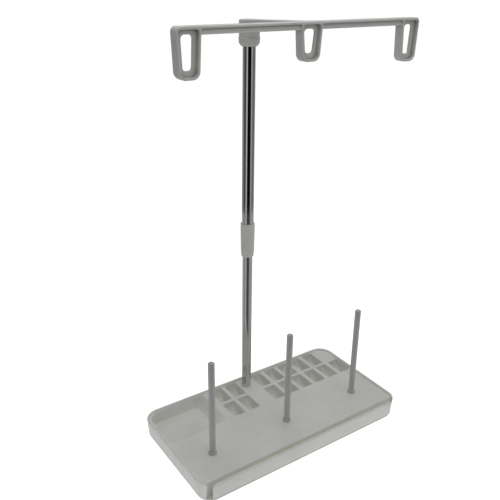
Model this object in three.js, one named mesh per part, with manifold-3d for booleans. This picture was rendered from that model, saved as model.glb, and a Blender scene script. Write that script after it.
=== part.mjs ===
// Three-spool thread stand: a flat accessory base with three spool pins, a bobbin rack, a dish and a
// drawer, and a telescopic mast that carries a swivelling thread guide.
// Millimetres, +Z up, +X along the long side, -Y towards the front. Origin: centre of the base on the table.
import * as THREE from 'three';
import { mergeVertices } from 'three/addons/utils/BufferGeometryUtils.js';
import Module from 'manifold-3d';

const wasm = await Module();
wasm.setup();

// ---- driving dimensions ----
const BASE_LENGTH = 230;
const BASE_WIDTH = 121;
const BASE_TOP = 19.5;
const BASE_CORNER = 15;
const BASE_DRAFT = 1.2;
const BASE_EDGE = 1;
const WALL = 2.4;
const DECK_TOP = 17.2;
const DECK_UNDER = 14.6;
const COVER_BOTTOM = 1;
const COVER_TOP = 3.2;
const COVER_INSET = 1.7;
const DECK_FRONT = -52;
const CORNER_BLOCK_X = 110;
const LINER = 1.2;
const POCKET_FLOOR = 4.8;

const SLOT_LENGTH = 13.2;
const SLOT_WIDTH = 22;
const SLOT_PITCH = 17.6;
const SLOT_ROW_FRONT = 21.3;
const SLOT_ROW_BACK = 46.9;
const SLOT_COLUMNS_LEFT = [-32.8, -15.2];
const SLOT_FIRST_RIGHT = 17.4;
const SLOTS_RIGHT_FRONT = 6;
const SLOTS_RIGHT_BACK = 5;
const DISH = { x0: -110, x1: -46, y0: 8, y1: 57.9 };
const DISH_RAMP_FRONT = 17;
const DISH_RAMP_RIGHT = 10;

const PIN_SPACING = 84;
const PIN_Y = -22.5;
const PIN_TOP = 114;
const PIN_FOOT_RADIUS = 2.8;
const PIN_TIP_RADIUS = 3;
const PIN_FLANGE_RADIUS = 3.9;
const PIN_FLANGE_TOP = 18.9;
const PIN_PEG_RADIUS = 2.1;
const PIN_PEG_BOTTOM = 13.3;
const PIN_BOSS_BOTTOM = 13.2;

const MAST_Y = 48.4;
const LOWER_TUBE_RADIUS = 4.8;
const UPPER_TUBE_RADIUS = 5.6;
const TUBE_WALL = 0.6;
const LOWER_TUBE_BOTTOM = 6.4;
const LOWER_TUBE_TOP = 174.5;
const UPPER_TUBE_TOP = 376;
const COLLAR_BOTTOM = 166.5;
const COLLAR_TOP = 200;
const COLLAR_RADIUS = 6.7;

const HUB_RADIUS = 8.8;
const HUB_TOP = 381.3;
const BUSH_RADIUS = 9;
const BUSH_LIP_RADIUS = 9.4;
const BUSH_BOTTOM = 360;
const BUSH_LEDGE = 367;
const STEM_RADIUS = 7.4;
const STEM_TOP = 377.5;

const HEAD_TOP = 384.5;
const BAR_HEIGHT = 5.8;
const BAR_DEPTH = 8.6;
const BAR_HALF = 113.5;
const BAR_Y = -30.4;
const BAR_RIM = 2.1;
const OUTER_LOOP_DROP = 34.6;
const MIDDLE_LOOP_DROP = 28.7;
const OUTER_LOOP_X = 103.6;
const LOOP_FLANGE = 1.8;
const RECESS_DEPTH = 3.2;
const ARM_PLATE = 2.2;
const ARM_WEB = 1.6;

const DRAWER_FRONT_HALF = 105.5;
const DRAWER_FACE = -59.6;
const DRAWER_LIP = -60.5;
const DRAWER_FRONT_BACK = -57.8;
const TRAY_HALF = 98.8;
const TRAY_BACK = 3;
const TRAY_BOTTOM = 3.6;
const TRAY_TOP = 11.2;
const TRAY_WALL = 1.4;

const FOOT_RADIUS = 6;
const GAP = 0.05;
const ROUND_STEPS = 40;

// ---- materials ----
const plastic = { color: 0xd3d2cc, roughness: 0.42, metalness: 0 };
const MATERIALS = {
  body: plastic,
  hidden: { color: 0xc4c3bd, roughness: 0.55, metalness: 0 },
  pin: { color: 0xc6c6c0, roughness: 0.4, metalness: 0 },
  guide: { color: 0xc2c2bc, roughness: 0.42, metalness: 0 },
  tube: { color: 0xd8d9da, roughness: 0.12, metalness: 1 },
  steel: { color: 0xa9abad, roughness: 0.3, metalness: 1 },
  rubber: { color: 0x8c8c88, roughness: 0.85, metalness: 0 },
};

const stand = new THREE.Group();
stand.name = 'spool_holder_stand';

// ---- helpers ----
function toSolid(geometry) {
  const bare = geometry.clone();
  bare.deleteAttribute('normal');
  bare.deleteAttribute('uv');
  const merged = mergeVertices(bare, 1e-4);
  const mesh = new wasm.Mesh({
    numProp: 3,
    vertProperties: merged.attributes.position.array,
    triVerts: merged.index.array,
  });
  return new wasm.Manifold(mesh);
}

function toGeometry(solid) {
  const mesh = solid.getMesh();
  const geometry = new THREE.BufferGeometry();
  geometry.setAttribute('position', new THREE.BufferAttribute(mesh.vertProperties, 3));
  geometry.setIndex(new THREE.BufferAttribute(mesh.triVerts, 1));
  geometry.computeVertexNormals();
  return geometry;
}

function addNode(name, shape, material) {
  const geometry = shape.isBufferGeometry ? shape : toGeometry(shape);
  const mesh = new THREE.Mesh(geometry, new THREE.MeshStandardMaterial(MATERIALS[material]));
  mesh.name = name;
  stand.add(mesh);
  return mesh;
}

// Outline through corners [x, y, radius], each corner replaced by a tangent arc.
function roundedPolygon(corners, steps = 5) {
  const points = [];
  corners.forEach(([x, y, radius], i) => {
    const corner = new THREE.Vector2(x, y);
    const before = corners[(i + corners.length - 1) % corners.length];
    const after = corners[(i + 1) % corners.length];
    const toBefore = new THREE.Vector2(before[0] - x, before[1] - y).normalize();
    const toAfter = new THREE.Vector2(after[0] - x, after[1] - y).normalize();
    if (!radius) {
      points.push(corner);
      return;
    }
    const half = Math.acos(THREE.MathUtils.clamp(toBefore.dot(toAfter), -1, 1)) / 2;
    const inward = toBefore.clone().add(toAfter).normalize();
    const centre = inward.multiplyScalar(radius / Math.sin(half)).add(corner);
    const start = toBefore.clone().multiplyScalar(radius / Math.tan(half)).add(corner).sub(centre);
    const end = toAfter.clone().multiplyScalar(radius / Math.tan(half)).add(corner).sub(centre);
    const from = start.angle();
    let sweep = end.angle() - from;
    if (sweep > Math.PI) sweep -= 2 * Math.PI;
    if (sweep < -Math.PI) sweep += 2 * Math.PI;
    for (let k = 0; k <= steps; k += 1) {
      const angle = from + (sweep * k) / steps;
      points.push(new THREE.Vector2(centre.x + radius * Math.cos(angle), centre.y + radius * Math.sin(angle)));
    }
  });
  return points;
}

function rectangle(x0, x1, y0, y1, radius, steps = 5) {
  return roundedPolygon([[x0, y0, radius], [x1, y0, radius], [x1, y1, radius], [x0, y1, radius]], steps);
}

// Plan outline raised from z0 to z1, with both rims rounded over by edge.
function slab(points, z0, z1, edge = 0) {
  const geometry = new THREE.ExtrudeGeometry(new THREE.Shape(points), {
    depth: z1 - z0 - 2 * edge,
    bevelEnabled: edge > 0,
    bevelThickness: edge,
    bevelSize: edge,
    bevelOffset: -edge,
    bevelSegments: 2,
    steps: 1,
  });
  geometry.translate(0, 0, z0 + edge);
  return geometry;
}

// Front-view outline (x, z) run from the front face to the back face.
function frontSlab(points, yFront, yBack, edge = 0) {
  const geometry = slab(points, 0, yBack - yFront, edge);
  geometry.rotateX(Math.PI / 2);
  geometry.translate(0, yBack, 0);
  return geometry;
}

function block(x0, x1, y0, y1, z0, z1) {
  const geometry = new THREE.BoxGeometry(x1 - x0, y1 - y0, z1 - z0);
  geometry.translate((x0 + x1) / 2, (y0 + y1) / 2, (z0 + z1) / 2);
  return toSolid(geometry);
}

// Turned piece: profile [radius, z] from bottom to top, round the upright axis through (x, y).
function turned(profile, x, y, segments = ROUND_STEPS) {
  const points = profile.map(([radius, z]) => new THREE.Vector2(radius, z));
  const geometry = new THREE.LatheGeometry(points, segments);
  geometry.rotateX(Math.PI / 2);
  geometry.translate(x, y, 0);
  return geometry;
}

function rod(x, y, radius, z0, z1, segments = ROUND_STEPS) {
  return toSolid(turned([[0, z0], [radius, z0], [radius, z1], [0, z1]], x, y, segments));
}

function joined(solids) {
  return solids.reduce((sum, solid) => sum.add(solid));
}

// Side walls lean outwards towards the top.
function draft(geometry, inset, z0, z1) {
  const position = geometry.attributes.position;
  for (let i = 0; i < position.count; i += 1) {
    const lean = inset * THREE.MathUtils.clamp((z1 - position.getZ(i)) / (z1 - z0), 0, 1);
    position.setX(i, position.getX(i) - Math.sign(position.getX(i)) * lean);
    position.setY(i, position.getY(i) - Math.sign(position.getY(i)) * lean);
  }
  return geometry;
}

// ---- where the repeated features sit ----
const slots = [];
for (const x of SLOT_COLUMNS_LEFT) {
  slots.push([x, SLOT_ROW_FRONT], [x, SLOT_ROW_BACK]);
}
for (let k = 0; k < SLOTS_RIGHT_FRONT; k += 1) {
  slots.push([SLOT_FIRST_RIGHT + k * SLOT_PITCH, SLOT_ROW_FRONT]);
}
for (let k = 0; k < SLOTS_RIGHT_BACK; k += 1) {
  slots.push([SLOT_FIRST_RIGHT + k * SLOT_PITCH, SLOT_ROW_BACK]);
}
const pins = { left: -PIN_SPACING, middle: 0, right: PIN_SPACING };
const coverScrews = {
  front_left: [-106.6, -44],
  front_right: [106.6, -44],
  side_left: [-106.6, -4],
  back_right: [104.6, 47],
};
const feet = { front_left: [-92, -46], front_right: [92, -46], back_left: [-92, 46], back_right: [92, 46] };

// ---- base body: deck, rim, pockets, corner blocks and the bosses under the deck ----
function slotOutline([x, y], grow) {
  const halfLength = SLOT_LENGTH / 2 + grow;
  const halfWidth = SLOT_WIDTH / 2 + grow;
  return rectangle(x - halfLength, x + halfLength, y - halfWidth, y + halfWidth, 1 + grow, 2);
}

// The dish is steep at the back and left and ramps up to the deck at the front and right.
function dishOutline(grow, inset = 0) {
  const front = DISH.y0 - grow + inset * DISH_RAMP_FRONT;
  const right = DISH.x1 + grow - inset * DISH_RAMP_RIGHT;
  const corners = [
    [DISH.x0 - grow, front, 5 + grow],
    [right, front, 5 + grow],
    [right, DISH.y1 + grow, 2.5],
    [DISH.x0 - grow, DISH.y1 + grow, 11 + grow],
  ];
  return roundedPolygon(corners, 5);
}

function dishShape(grow, floor, rampTop, top) {
  return wasm.Manifold.hull([
    toSolid(slab(dishOutline(grow, 1), floor, floor + 0.1)),
    toSolid(slab(dishOutline(grow), rampTop, top)),
  ]);
}

function buildBaseBody() {
  const halfLength = BASE_LENGTH / 2;
  const halfWidth = BASE_WIDTH / 2;
  const plan = rectangle(-halfLength, halfLength, -halfWidth, halfWidth, BASE_CORNER, 7);
  const outside = toSolid(draft(
    slab(plan, COVER_TOP, BASE_TOP, BASE_EDGE),
    BASE_DRAFT,
    COVER_TOP,
    BASE_TOP,
  ));
  const inner = WALL + BASE_DRAFT / 2;
  const underside = toSolid(slab(
    rectangle(-halfLength + inner, halfLength - inner, -halfWidth + inner, halfWidth - inner, 12, 5),
    COVER_TOP - 1,
    DECK_UNDER,
  ));
  const overDeck = toSolid(slab(
    roundedPolygon([
      [-halfLength + WALL, DECK_FRONT, 2.6],
      [halfLength - WALL, DECK_FRONT, 2.6],
      [halfLength - WALL, halfWidth - WALL, BASE_CORNER - WALL],
      [-halfLength + WALL, halfWidth - WALL, BASE_CORNER - WALL],
    ], 7),
    DECK_TOP,
    BASE_TOP + 1,
  ));

  const additions = [];
  for (const slot of slots) {
    additions.push(toSolid(slab(slotOutline(slot, LINER), POCKET_FLOOR - LINER, DECK_UNDER + 0.5)));
  }
  additions.push(dishShape(LINER, POCKET_FLOOR - LINER, DECK_UNDER, DECK_UNDER + 0.5));
  additions.push(rod(0, MAST_Y, 9, COVER_TOP, DECK_UNDER + 0.5));
  for (const x of Object.values(pins)) {
    additions.push(rod(x, PIN_Y, 5, PIN_BOSS_BOTTOM, DECK_UNDER + 0.5, 24));
  }
  for (const [x, y] of Object.values(coverScrews)) {
    additions.push(rod(x, y, 3.4, COVER_TOP, DECK_UNDER + 0.5, 20));
  }
  for (const side of [-1, 1]) {
    const span = (near, far) => (side < 0 ? [-far, -near] : [near, far]);
    additions.push(block(...span(99.3, 100.8), -51, 5.5, COVER_TOP, DECK_UNDER + 0.5));
    additions.push(block(...span(99.3, 112), -52, -50.6, COVER_TOP, DECK_UNDER + 0.5));
    additions.push(block(...span(CORNER_BLOCK_X, 112), -58.5, -51, COVER_TOP, DECK_UNDER + 0.5));
  }
  additions.push(block(-99.5, 99.5, DECK_FRONT, -50.6, 12.3, DECK_UNDER + 0.5));

  const cuts = [overDeck];
  for (const slot of slots) {
    cuts.push(toSolid(slab(slotOutline(slot, 0), POCKET_FLOOR, BASE_TOP)));
  }
  cuts.push(dishShape(0, POCKET_FLOOR, DECK_TOP, BASE_TOP));
  cuts.push(block(-CORNER_BLOCK_X, CORNER_BLOCK_X, -halfWidth - 2, DECK_FRONT, COVER_TOP - 1, BASE_TOP + 1));
  cuts.push(rod(0, MAST_Y, LOWER_TUBE_RADIUS + GAP, LOWER_TUBE_BOTTOM, BASE_TOP));
  cuts.push(rod(0, MAST_Y, 1.7, COVER_TOP - 1, LOWER_TUBE_BOTTOM + 0.5, 20));
  for (const x of Object.values(pins)) {
    cuts.push(rod(x, PIN_Y, PIN_PEG_RADIUS + GAP, PIN_BOSS_BOTTOM - 1, BASE_TOP, 24));
  }
  for (const [x, y] of Object.values(coverScrews)) {
    cuts.push(rod(x, y, 1.15, COVER_TOP - 1, 12, 16));
  }

  const shell = outside.subtract(underside).add(joined(additions).intersect(outside));
  return shell.subtract(joined(cuts));
}

addNode('base_body', buildBaseBody(), 'body');

// ---- base cover, its screws and the feet ----
function buildCover() {
  const halfLength = BASE_LENGTH / 2 - COVER_INSET;
  const halfWidth = BASE_WIDTH / 2 - COVER_INSET;
  const plate = toSolid(slab(
    rectangle(-halfLength, halfLength, -halfWidth, halfWidth, BASE_CORNER - COVER_INSET, 7),
    COVER_BOTTOM,
    COVER_TOP,
    0.7,
  ));
  const cuts = [rod(0, MAST_Y, 4.8, 0, COVER_TOP + 1, 28)];
  for (const [x, y] of Object.values(coverScrews)) {
    cuts.push(rod(x, y, 1.5, 0, COVER_TOP + 1, 16), rod(x, y, 3, 0, COVER_BOTTOM + 1.2, 20));
  }
  for (const [x, y] of Object.values(feet)) {
    cuts.push(rod(x, y, FOOT_RADIUS + 0.3, 0, COVER_BOTTOM + 0.4, 28));
  }
  return plate.subtract(joined(cuts));
}

addNode('base_cover', buildCover(), 'hidden');

for (const [place, [x, y]] of Object.entries(coverScrews)) {
  const headBottom = COVER_BOTTOM + 0.2;
  const headTop = COVER_BOTTOM + 1.2;
  const profile = [[0, headBottom], [2.3, headBottom], [2.7, headBottom + 0.4], [2.7, headTop]];
  profile.push([1.1, headTop], [1.1, 10.4], [0, 11.4]);
  const cross = block(x - 1.6, x + 1.6, y - 0.3, y + 0.3, 0, headBottom + 0.6)
    .add(block(x - 0.3, x + 0.3, y - 1.6, y + 1.6, 0, headBottom + 0.6));
  addNode(`cover_screw_${place}`, toSolid(turned(profile, x, y, 20)).subtract(cross), 'steel');
}

for (const [place, [x, y]] of Object.entries(feet)) {
  const top = COVER_BOTTOM + 0.4;
  const profile = [[0, 0], [FOOT_RADIUS - 0.5, 0], [FOOT_RADIUS, 0.5], [FOOT_RADIUS, top], [0, top]];
  addNode(`foot_${place}`, turned(profile, x, y, 28), 'rubber');
}

// ---- drawer: tray, front and pull lip in one moulding ----
function buildDrawer() {
  const front = toSolid(frontSlab(
    rectangle(-DRAWER_FRONT_HALF, DRAWER_FRONT_HALF, TRAY_BOTTOM, 18.6, 2.4, 4),
    DRAWER_FACE,
    DRAWER_FRONT_BACK,
    0.4,
  ));
  const lip = toSolid(frontSlab(
    rectangle(-DRAWER_FRONT_HALF + 0.6, DRAWER_FRONT_HALF - 0.6, 16.4, 18.8, 0.9, 3),
    DRAWER_LIP,
    DRAWER_FRONT_BACK - 0.3,
    0.4,
  ));
  const outside = toSolid(slab(
    rectangle(-TRAY_HALF, TRAY_HALF, DRAWER_FRONT_BACK - 0.8, TRAY_BACK, 2.5, 3),
    TRAY_BOTTOM,
    TRAY_TOP,
  ));
  const inside = toSolid(slab(
    rectangle(-TRAY_HALF + TRAY_WALL, TRAY_HALF - TRAY_WALL, DRAWER_FRONT_BACK, TRAY_BACK - TRAY_WALL, 2, 3),
    TRAY_BOTTOM + 1.2,
    BASE_TOP,
  ));
  const stops = [-50, 50].map((x) => block(x - 5, x + 5, TRAY_BACK - TRAY_WALL, TRAY_BACK, 9, 13.4));
  return outside.subtract(inside).add(joined([front, lip, ...stops]));
}

addNode('drawer', buildDrawer(), 'body');

// ---- spool pins and the screws that hold them ----
for (const [place, x] of Object.entries(pins)) {
  const profile = [[0, PIN_PEG_BOTTOM], [PIN_PEG_RADIUS, PIN_PEG_BOTTOM], [PIN_PEG_RADIUS, DECK_TOP]];
  profile.push([PIN_FLANGE_RADIUS, DECK_TOP], [PIN_FLANGE_RADIUS, PIN_FLANGE_TOP - 0.6]);
  profile.push([PIN_FLANGE_RADIUS - 0.5, PIN_FLANGE_TOP], [PIN_FOOT_RADIUS, PIN_FLANGE_TOP + 0.4]);
  const tipBase = PIN_TOP - 2.2;
  for (let k = 0; k <= 5; k += 1) {
    const angle = (k / 5) * (Math.PI / 2);
    profile.push([k === 5 ? 0 : PIN_TIP_RADIUS * Math.cos(angle), tipBase + 2.2 * Math.sin(angle)]);
  }
  const pilot = rod(x, PIN_Y, 1.1, PIN_PEG_BOTTOM - 1, 23, 16);
  addNode(`spool_pin_${place}`, toSolid(turned(profile, x, PIN_Y, 28)).subtract(pilot), 'pin');

  const headBottom = PIN_BOSS_BOTTOM - 1.5;
  const screw = [[0, headBottom], [2.4, headBottom], [3, headBottom + 0.6], [3, PIN_BOSS_BOTTOM]];
  screw.push([1.05, PIN_BOSS_BOTTOM], [1.05, 20.6], [0, 21.6]);
  const cross = block(x - 1.7, x + 1.7, PIN_Y - 0.3, PIN_Y + 0.3, headBottom - 1, headBottom + 0.7)
    .add(block(x - 0.3, x + 0.3, PIN_Y - 1.7, PIN_Y + 1.7, headBottom - 1, headBottom + 0.7));
  addNode(`pin_screw_${place}`, toSolid(turned(screw, x, PIN_Y, 20)).subtract(cross), 'steel');
}

// ---- mast ----
function tube(radius, z0, z1) {
  const inner = radius - TUBE_WALL;
  return turned([[inner, z0], [radius, z0], [radius, z1], [inner, z1], [inner, z0]], 0, MAST_Y, 48);
}

const lowerBore = LOWER_TUBE_RADIUS - TUBE_WALL - GAP;
addNode('lower_tube', tube(LOWER_TUBE_RADIUS, LOWER_TUBE_BOTTOM, LOWER_TUBE_TOP), 'tube');

const plug = rod(0, MAST_Y, lowerBore, LOWER_TUBE_BOTTOM, 24).subtract(rod(0, MAST_Y, 1.5, 0, 19, 20));
addNode('mast_plug', plug, 'steel');

const washer = [[1.7, 2.6], [4.2, 2.6], [4.2, COVER_TOP], [1.7, COVER_TOP], [1.7, 2.6]];
addNode('mast_washer', turned(washer, 0, MAST_Y, 28), 'steel');

const mastScrew = [[0, 1.2], [2.4, 1.2], [3, 1.7], [3, 2.6], [1.45, 2.6], [1.45, 16.5], [0, 17.6]];
const mastCross = block(-1.8, 1.8, MAST_Y - 0.35, MAST_Y + 0.35, 0, 2)
  .add(block(-0.35, 0.35, MAST_Y - 1.8, MAST_Y + 1.8, 0, 2));
addNode('mast_screw', toSolid(turned(mastScrew, 0, MAST_Y, 24)).subtract(mastCross), 'steel');

const guideRadius = UPPER_TUBE_RADIUS - TUBE_WALL - GAP;
const guide = [[0, LOWER_TUBE_TOP - 13], [lowerBore, LOWER_TUBE_TOP - 13], [lowerBore, LOWER_TUBE_TOP]];
guide.push([guideRadius, LOWER_TUBE_TOP], [guideRadius, 195], [guideRadius - 0.8, 196], [0, 196]);
addNode('slide_guide', turned(guide, 0, MAST_Y), 'hidden');

addNode('upper_tube', tube(UPPER_TUBE_RADIUS, LOWER_TUBE_TOP, UPPER_TUBE_TOP), 'tube');

const collar = [[LOWER_TUBE_RADIUS + GAP, COLLAR_BOTTOM], [LOWER_TUBE_RADIUS + 0.35, COLLAR_BOTTOM]];
collar.push([5.9, COLLAR_BOTTOM + 3], [6.2, COLLAR_BOTTOM + 5], [COLLAR_RADIUS, COLLAR_TOP - 3]);
collar.push([COLLAR_RADIUS, COLLAR_TOP - 0.5], [COLLAR_RADIUS - 0.4, COLLAR_TOP]);
collar.push([UPPER_TUBE_RADIUS + GAP, COLLAR_TOP], [UPPER_TUBE_RADIUS + GAP, LOWER_TUBE_TOP]);
collar.push([LOWER_TUBE_RADIUS + GAP, LOWER_TUBE_TOP], [LOWER_TUBE_RADIUS + GAP, COLLAR_BOTTOM]);
addNode('collar', turned(collar, 0, MAST_Y), 'guide');

const bush = [[UPPER_TUBE_RADIUS + GAP, BUSH_BOTTOM], [7, BUSH_BOTTOM], [8.1, BUSH_BOTTOM + 0.8]];
bush.push([8.8, BUSH_BOTTOM + 2.2], [BUSH_RADIUS, BUSH_BOTTOM + 4], [BUSH_RADIUS, BUSH_LEDGE - 1.2]);
bush.push([BUSH_LIP_RADIUS, BUSH_LEDGE - 0.8], [BUSH_LIP_RADIUS, BUSH_LEDGE - 0.2]);
bush.push([BUSH_LIP_RADIUS - 0.2, BUSH_LEDGE], [STEM_RADIUS, BUSH_LEDGE], [STEM_RADIUS, STEM_TOP - 0.8]);
bush.push([STEM_RADIUS - 0.8, STEM_TOP], [0, STEM_TOP], [0, UPPER_TUBE_TOP]);
bush.push([UPPER_TUBE_RADIUS + GAP, UPPER_TUBE_TOP], [UPPER_TUBE_RADIUS + GAP, BUSH_BOTTOM]);
addNode('head_bush', turned(bush, 0, MAST_Y), 'guide');

// ---- thread guide: hub, arm and a cross bar with three hanging loops ----
// Each loop is given by its half widths at the top and at the bottom, outside and in the hole.
const OUTER_LOOP = { top: 9.9, low: 8.2, drop: OUTER_LOOP_DROP, holeTop: 4.6, holeLow: 3.5 };
const MIDDLE_LOOP = { top: 10.2, low: 8.3, drop: MIDDLE_LOOP_DROP, holeTop: 5.5, holeLow: 3.6 };
const loops = [
  { x: -OUTER_LOOP_X, ...OUTER_LOOP },
  { x: 0, ...MIDDLE_LOOP },
  { x: OUTER_LOOP_X, ...OUTER_LOOP },
];

function guideOutline() {
  const under = HEAD_TOP - BAR_HEIGHT;
  const corners = [[BAR_HALF, HEAD_TOP, 3.6], [-BAR_HALF, HEAD_TOP, 3.6]];
  for (const loop of loops) {
    const bottom = HEAD_TOP - loop.drop;
    if (loop.x >= 0) corners.push([loop.x - loop.top, under, 1.8]);
    corners.push([loop.x - loop.low, bottom, 5.8], [loop.x + loop.low, bottom, 5.8]);
    if (loop.x <= 0) corners.push([loop.x + loop.top, under, 1.8]);
  }
  return roundedPolygon(corners, 5);
}

// Upright opening that narrows downwards, round the middle of a loop.
function taperedOutline(x, halfTop, halfLow, top, bottom, topRadius, lowRadius) {
  return roundedPolygon([
    [x - halfTop, top, topRadius],
    [x - halfLow, bottom, lowRadius],
    [x + halfLow, bottom, lowRadius],
    [x + halfTop, top, topRadius],
  ], 4);
}

function recessOutline(loop) {
  const top = HEAD_TOP - BAR_RIM;
  const bottom = HEAD_TOP - loop.drop + LOOP_FLANGE;
  return taperedOutline(loop.x, loop.top - LOOP_FLANGE, loop.low - LOOP_FLANGE, top, bottom, 2, 4);
}

function holeOutline(loop) {
  const bottom = HEAD_TOP - loop.drop + 6;
  return taperedOutline(loop.x, loop.holeTop, loop.holeLow, HEAD_TOP - 5.4, bottom, 2.8, 2.4);
}

// Side-view outline (y, z) run across the middle from -halfWidth to +halfWidth.
function sideSlab(points, halfWidth) {
  const geometry = slab(points.map(([y, z]) => new THREE.Vector2(y, z)), -halfWidth, halfWidth);
  geometry.applyMatrix4(new THREE.Matrix4().set(0, 0, 1, 0, 1, 0, 0, 0, 0, 1, 0, 0, 0, 0, 0, 1));
  return toSolid(geometry);
}

// The arm falls gently from the bar to the hub: a flat plate with a narrow web under it.
function buildArm(back) {
  const hubFront = MAST_Y - HUB_RADIUS + 1;
  const band = (thickness) => [
    [back - 2.8, HEAD_TOP - thickness],
    [hubFront, HUB_TOP - thickness],
    [MAST_Y, HUB_TOP - thickness],
    [MAST_Y, HUB_TOP],
    [hubFront, HUB_TOP],
    [back - 2.8, HEAD_TOP],
  ];
  const plan = toSolid(slab(roundedPolygon([
    [-7.6, MAST_Y, 0],
    [-5.4, back - 0.6, 10],
    [-22, back - 0.6, 0],
    [-22, back - 2.8, 0],
    [22, back - 2.8, 0],
    [22, back - 0.6, 0],
    [5.4, back - 0.6, 10],
    [7.6, MAST_Y, 0],
  ], 6), HUB_TOP - 10, HEAD_TOP + 1));
  return plan.intersect(sideSlab(band(ARM_PLATE), 25)).add(sideSlab(band(BAR_HEIGHT), ARM_WEB));
}

function buildHead() {
  const front = BAR_Y - BAR_DEPTH / 2;
  const back = BAR_Y + BAR_DEPTH / 2;
  const under = HEAD_TOP - BAR_HEIGHT;
  const bar = toSolid(frontSlab(guideOutline(), front, back, 0.5));
  const faces = [[front - 1, front + RECESS_DEPTH], [back - RECESS_DEPTH, back + 1]];
  const recesses = [];
  const holes = [];
  for (const loop of loops) {
    holes.push(toSolid(frontSlab(holeOutline(loop), front - 1, back + 1)));
    for (const [y0, y1] of faces) {
      recesses.push(toSolid(frontSlab(recessOutline(loop), y0, y1)));
    }
  }
  for (const side of [-1, 1]) {
    const near = side * MIDDLE_LOOP.top;
    const far = side * (loops[2].x - OUTER_LOOP.top);
    for (const [y0, y1] of faces) {
      recesses.push(block(Math.min(near, far), Math.max(near, far), y0, y1, under - 3, HEAD_TOP - BAR_RIM));
    }
  }
  const hub = toSolid(turned([
    [0, BUSH_LEDGE + 0.1],
    [HUB_RADIUS - 0.4, BUSH_LEDGE + 0.1],
    [HUB_RADIUS, BUSH_LEDGE + 0.5],
    [HUB_RADIUS, HUB_TOP - 1],
    [HUB_RADIUS - 0.3, HUB_TOP - 0.3],
    [HUB_RADIUS - 1, HUB_TOP],
    [0, HUB_TOP],
  ], 0, MAST_Y));
  const socket = rod(0, MAST_Y, STEM_RADIUS + 0.08, BUSH_LEDGE - 1, STEM_TOP + 0.3);
  return bar.subtract(joined(recesses)).add(buildArm(back)).add(hub).subtract(joined([...holes, socket]));
}

addNode('thread_guide', buildHead(), 'guide');

export default stand;
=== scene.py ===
import math

import bmesh
import bpy
from mathutils import Matrix, Vector
from mathutils.geometry import delaunay_2d_cdt


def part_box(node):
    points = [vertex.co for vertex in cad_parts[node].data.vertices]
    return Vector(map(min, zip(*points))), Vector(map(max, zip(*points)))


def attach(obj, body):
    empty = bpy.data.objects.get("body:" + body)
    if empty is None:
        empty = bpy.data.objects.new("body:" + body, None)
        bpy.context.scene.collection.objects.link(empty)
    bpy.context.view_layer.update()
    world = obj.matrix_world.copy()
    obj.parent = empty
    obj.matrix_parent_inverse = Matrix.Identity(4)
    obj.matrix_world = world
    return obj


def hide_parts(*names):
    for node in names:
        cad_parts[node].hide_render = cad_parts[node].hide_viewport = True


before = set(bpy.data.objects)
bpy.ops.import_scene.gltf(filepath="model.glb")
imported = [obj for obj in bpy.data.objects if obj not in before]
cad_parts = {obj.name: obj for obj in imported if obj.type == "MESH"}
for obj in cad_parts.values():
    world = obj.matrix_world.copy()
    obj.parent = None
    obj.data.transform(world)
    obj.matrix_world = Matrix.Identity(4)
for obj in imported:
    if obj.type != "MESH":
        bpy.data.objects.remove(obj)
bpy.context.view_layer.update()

MM = 0.001
QUARTER = math.pi / 2
PIN_PLACES = ("left", "middle", "right")
FOOT_PLACES = ("front_left", "front_right", "back_left", "back_right")
SCREW_PLACES = ("front_left", "front_right", "side_left", "back_right")


# ---- where the CAD pieces are, in millimetres ----
def box(node):
    low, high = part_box(node)
    return low / MM, high / MM


def round_part(name):
    """An upright round piece: the middle's x and y, the radius, the lowest and the highest z."""
    low, high = box(name)
    return (low.x + high.x) / 2, (low.y + high.y) / 2, (high.x - low.x) / 2, low.z, high.z


base_low, base_high = box("base_body")
HALF_LENGTH = base_high.x
BASE_TOP = base_high.z
BASE_BOTTOM = base_low.z
cover_low, cover_high = box("base_cover")
drawer_low, drawer_high = box("drawer")
guide_low, guide_high = box("thread_guide")
_, MAST_Y, UPPER_RADIUS, UPPER_FOOT, UPPER_TOP = round_part("upper_tube")
_, _, LOWER_RADIUS, _, _ = round_part("lower_tube")

# The base's corner arcs, its wall and its deck.
CORNER_X = 100
CORNER_Y = 45.5
CORNER = HALF_LENGTH - CORNER_X
DRAFT = 1.2
DECK = 17.2
WALL = 2.4
RIM_ROUND = 0.9
SHOULDER = BASE_TOP - RIM_ROUND

# The notch in front of the deck, where the drawer's front stands, and the drawer's bay behind it.
NOTCH_X = 110
NOTCH_Y = -52
DECK_CORNER = 2.6
BAY_X = 99.3
BAY_BACK = 5.5
BAY_CEILING = 14.6
HEADER_BOTTOM = 12.3
HEADER_BACK = -50.6

# The hollows in the deck.
HOLLOW_FLOOR = 4.8
SLOT_PITCH = 17.6
SLOT_HALF = 6.6
SLOTS_FRONT = (10.3, 32.3)
SLOTS_BACK = (35.9, 57.4)
COLUMNS_LEFT = (-32.8, -15.2)
FIRST_RIGHT = 17.4
DISH_LEFT, DISH_RIGHT, DISH_FRONT, DISH_BACK = -110, -46, 8, 57.4
FOOT_LEFT, FOOT_RIGHT, FOOT_FRONT, FOOT_BACK = -109.4, -56, 25, 56.6
MAST_HOLE_RADIUS = 4.86
MAST_HOLE_FLOOR = 6.4


# ---- outlines ----
def arc(cx, cy, radius, start, end, steps):
    """Points on an arc, angles in degrees."""
    angles = [math.radians(start + (end - start) * k / steps) for k in range(steps + 1)]
    return [Vector((cx + radius * math.cos(a), cy + radius * math.sin(a))) for a in angles]


def circle(cx, cy, radius, count):
    return arc(cx, cy, radius, 0, 360 - 360 / count, count - 1)


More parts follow.
